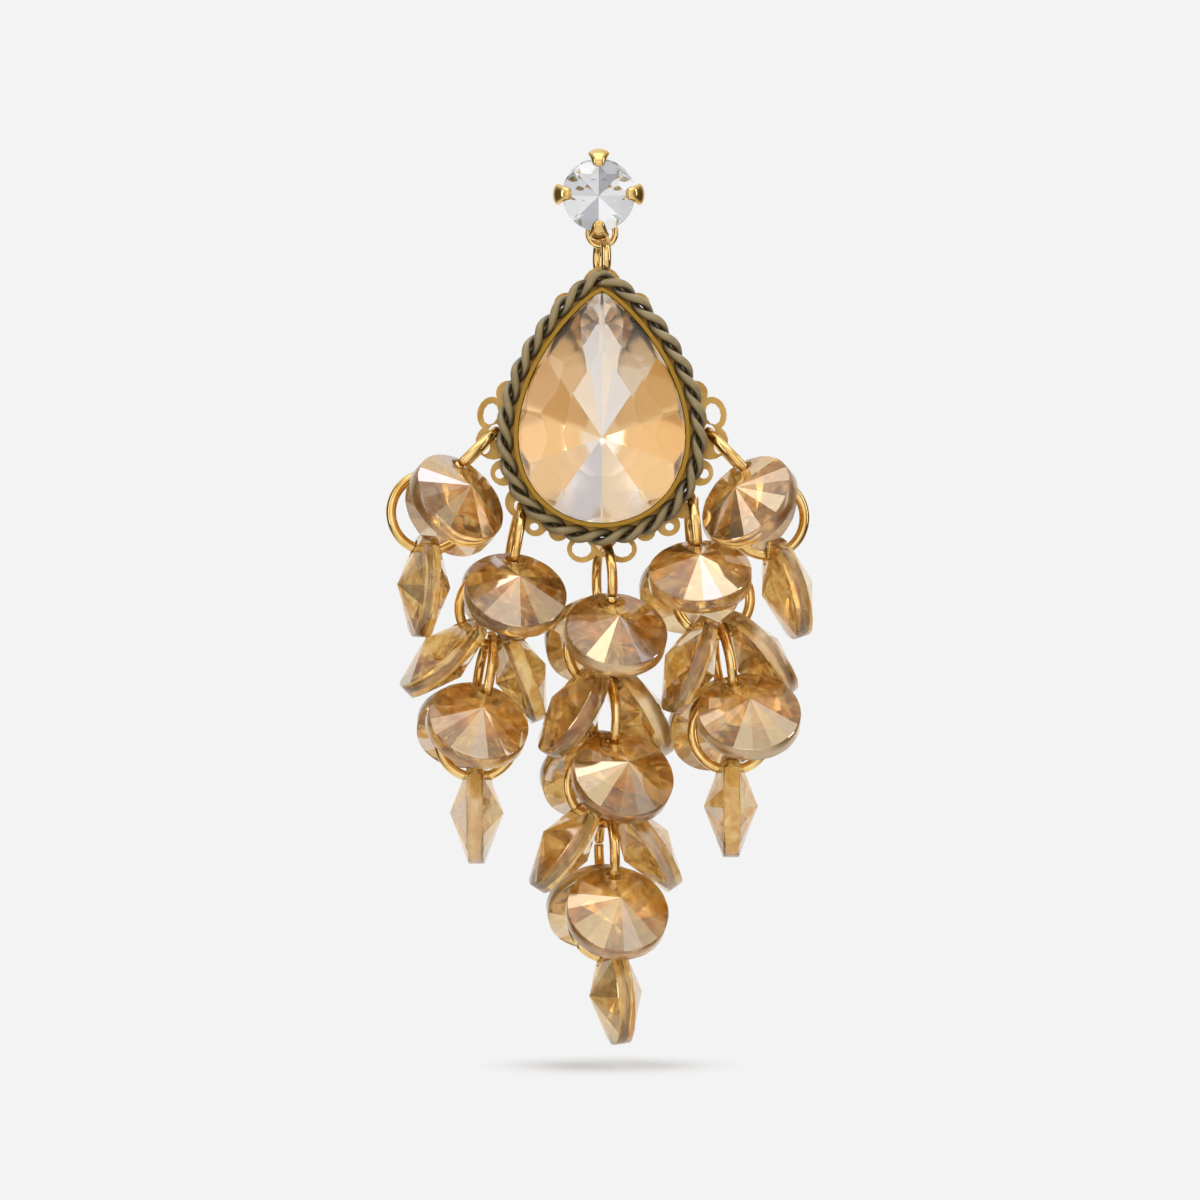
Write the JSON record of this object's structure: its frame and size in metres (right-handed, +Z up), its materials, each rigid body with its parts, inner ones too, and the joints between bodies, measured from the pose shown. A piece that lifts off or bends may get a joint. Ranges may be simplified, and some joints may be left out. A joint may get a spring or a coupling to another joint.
{
  "type": "chandelier earring",
  "caption": "Long drop earring: a crystal stud with an ear post carries a jump ring, a pear stone in a pierced plate with a twisted border, and link strands hung with pointed glass drops.",
  "frame": {"origin": "root of the ear post, at the centre of the stud's flat back that rests on the ear lobe", "axes": "+Y along the ear post to the back, -Y the front that is seen when worn, +Z up, +X to the right as seen from the front"},
  "size_m": [0.0334, 0.0189, 0.07],
  "materials": {
    "gold_plated_brass": "polished gold plate",
    "clear_glass": "cut and polished",
    "champagne_glass": "cut, half-mirrored",
    "amber_glass": "cut, with a thin metallic coat",
    "khaki_lacquer": "matte lacquer, worn bright on the high spots"
  },
  "bodies": {
    "stud": {"stud_setting": "gold_plated_brass", "stud_stone": "clear_glass"},
    "ring": {"top_ring": "gold_plated_brass"},
    "pendant": {"chain_centre": "gold_plated_brass", "chain_inner_left": "gold_plated_brass", "chain_inner_right": "gold_plated_brass", "chain_outer_left": "gold_plated_brass", "chain_outer_right": "gold_plated_brass", "drop_centre_1": "amber_glass", "drop_centre_10": "amber_glass", "drop_centre_11": "amber_glass", "drop_centre_2": "amber_glass", "drop_centre_3": "amber_glass", "drop_centre_4": "amber_glass", "drop_centre_5": "amber_glass", "drop_centre_6": "amber_glass", "drop_centre_7": "amber_glass", "drop_centre_8": "amber_glass", "drop_centre_9": "amber_glass", "drop_inner_left_1": "amber_glass", "drop_inner_left_2": "amber_glass", "drop_inner_left_3": "amber_glass", "drop_inner_left_4": "amber_glass", "drop_inner_left_5": "amber_glass", "drop_inner_left_6": "amber_glass", "drop_inner_left_7": "amber_glass", "drop_inner_right_1": "amber_glass", "drop_inner_right_2": "amber_glass", "drop_inner_right_3": "amber_glass", "drop_inner_right_4": "amber_glass", "drop_inner_right_5": "amber_glass", "drop_inner_right_6": "amber_glass", "drop_inner_right_7": "amber_glass", "drop_outer_left_1": "amber_glass", "drop_outer_left_2": "amber_glass", "drop_outer_left_3": "amber_glass", "drop_outer_right_1": "amber_glass", "drop_outer_right_2": "amber_glass", "drop_outer_right_3": "amber_glass", "pear_stone": "champagne_glass", "pendant_plate": "gold_plated_brass", "twist_wire_a": "khaki_lacquer", "twist_wire_b": "khaki_lacquer"}
  },
  "joints": [
    {"name": "ring_swing", "type": "hinge", "parent": "stud", "child": "ring", "pos_m": [0.00025, -0.0005, -0.00385], "axis": [1, 0, 0], "range_deg": [-25, 45]},
    {"name": "pendant_swing", "type": "hinge", "parent": "ring", "child": "pendant", "pos_m": [0.00025, -0.0005, -0.0064], "axis": [0, 1, 0], "range_deg": [-45, 45]}
  ]
}
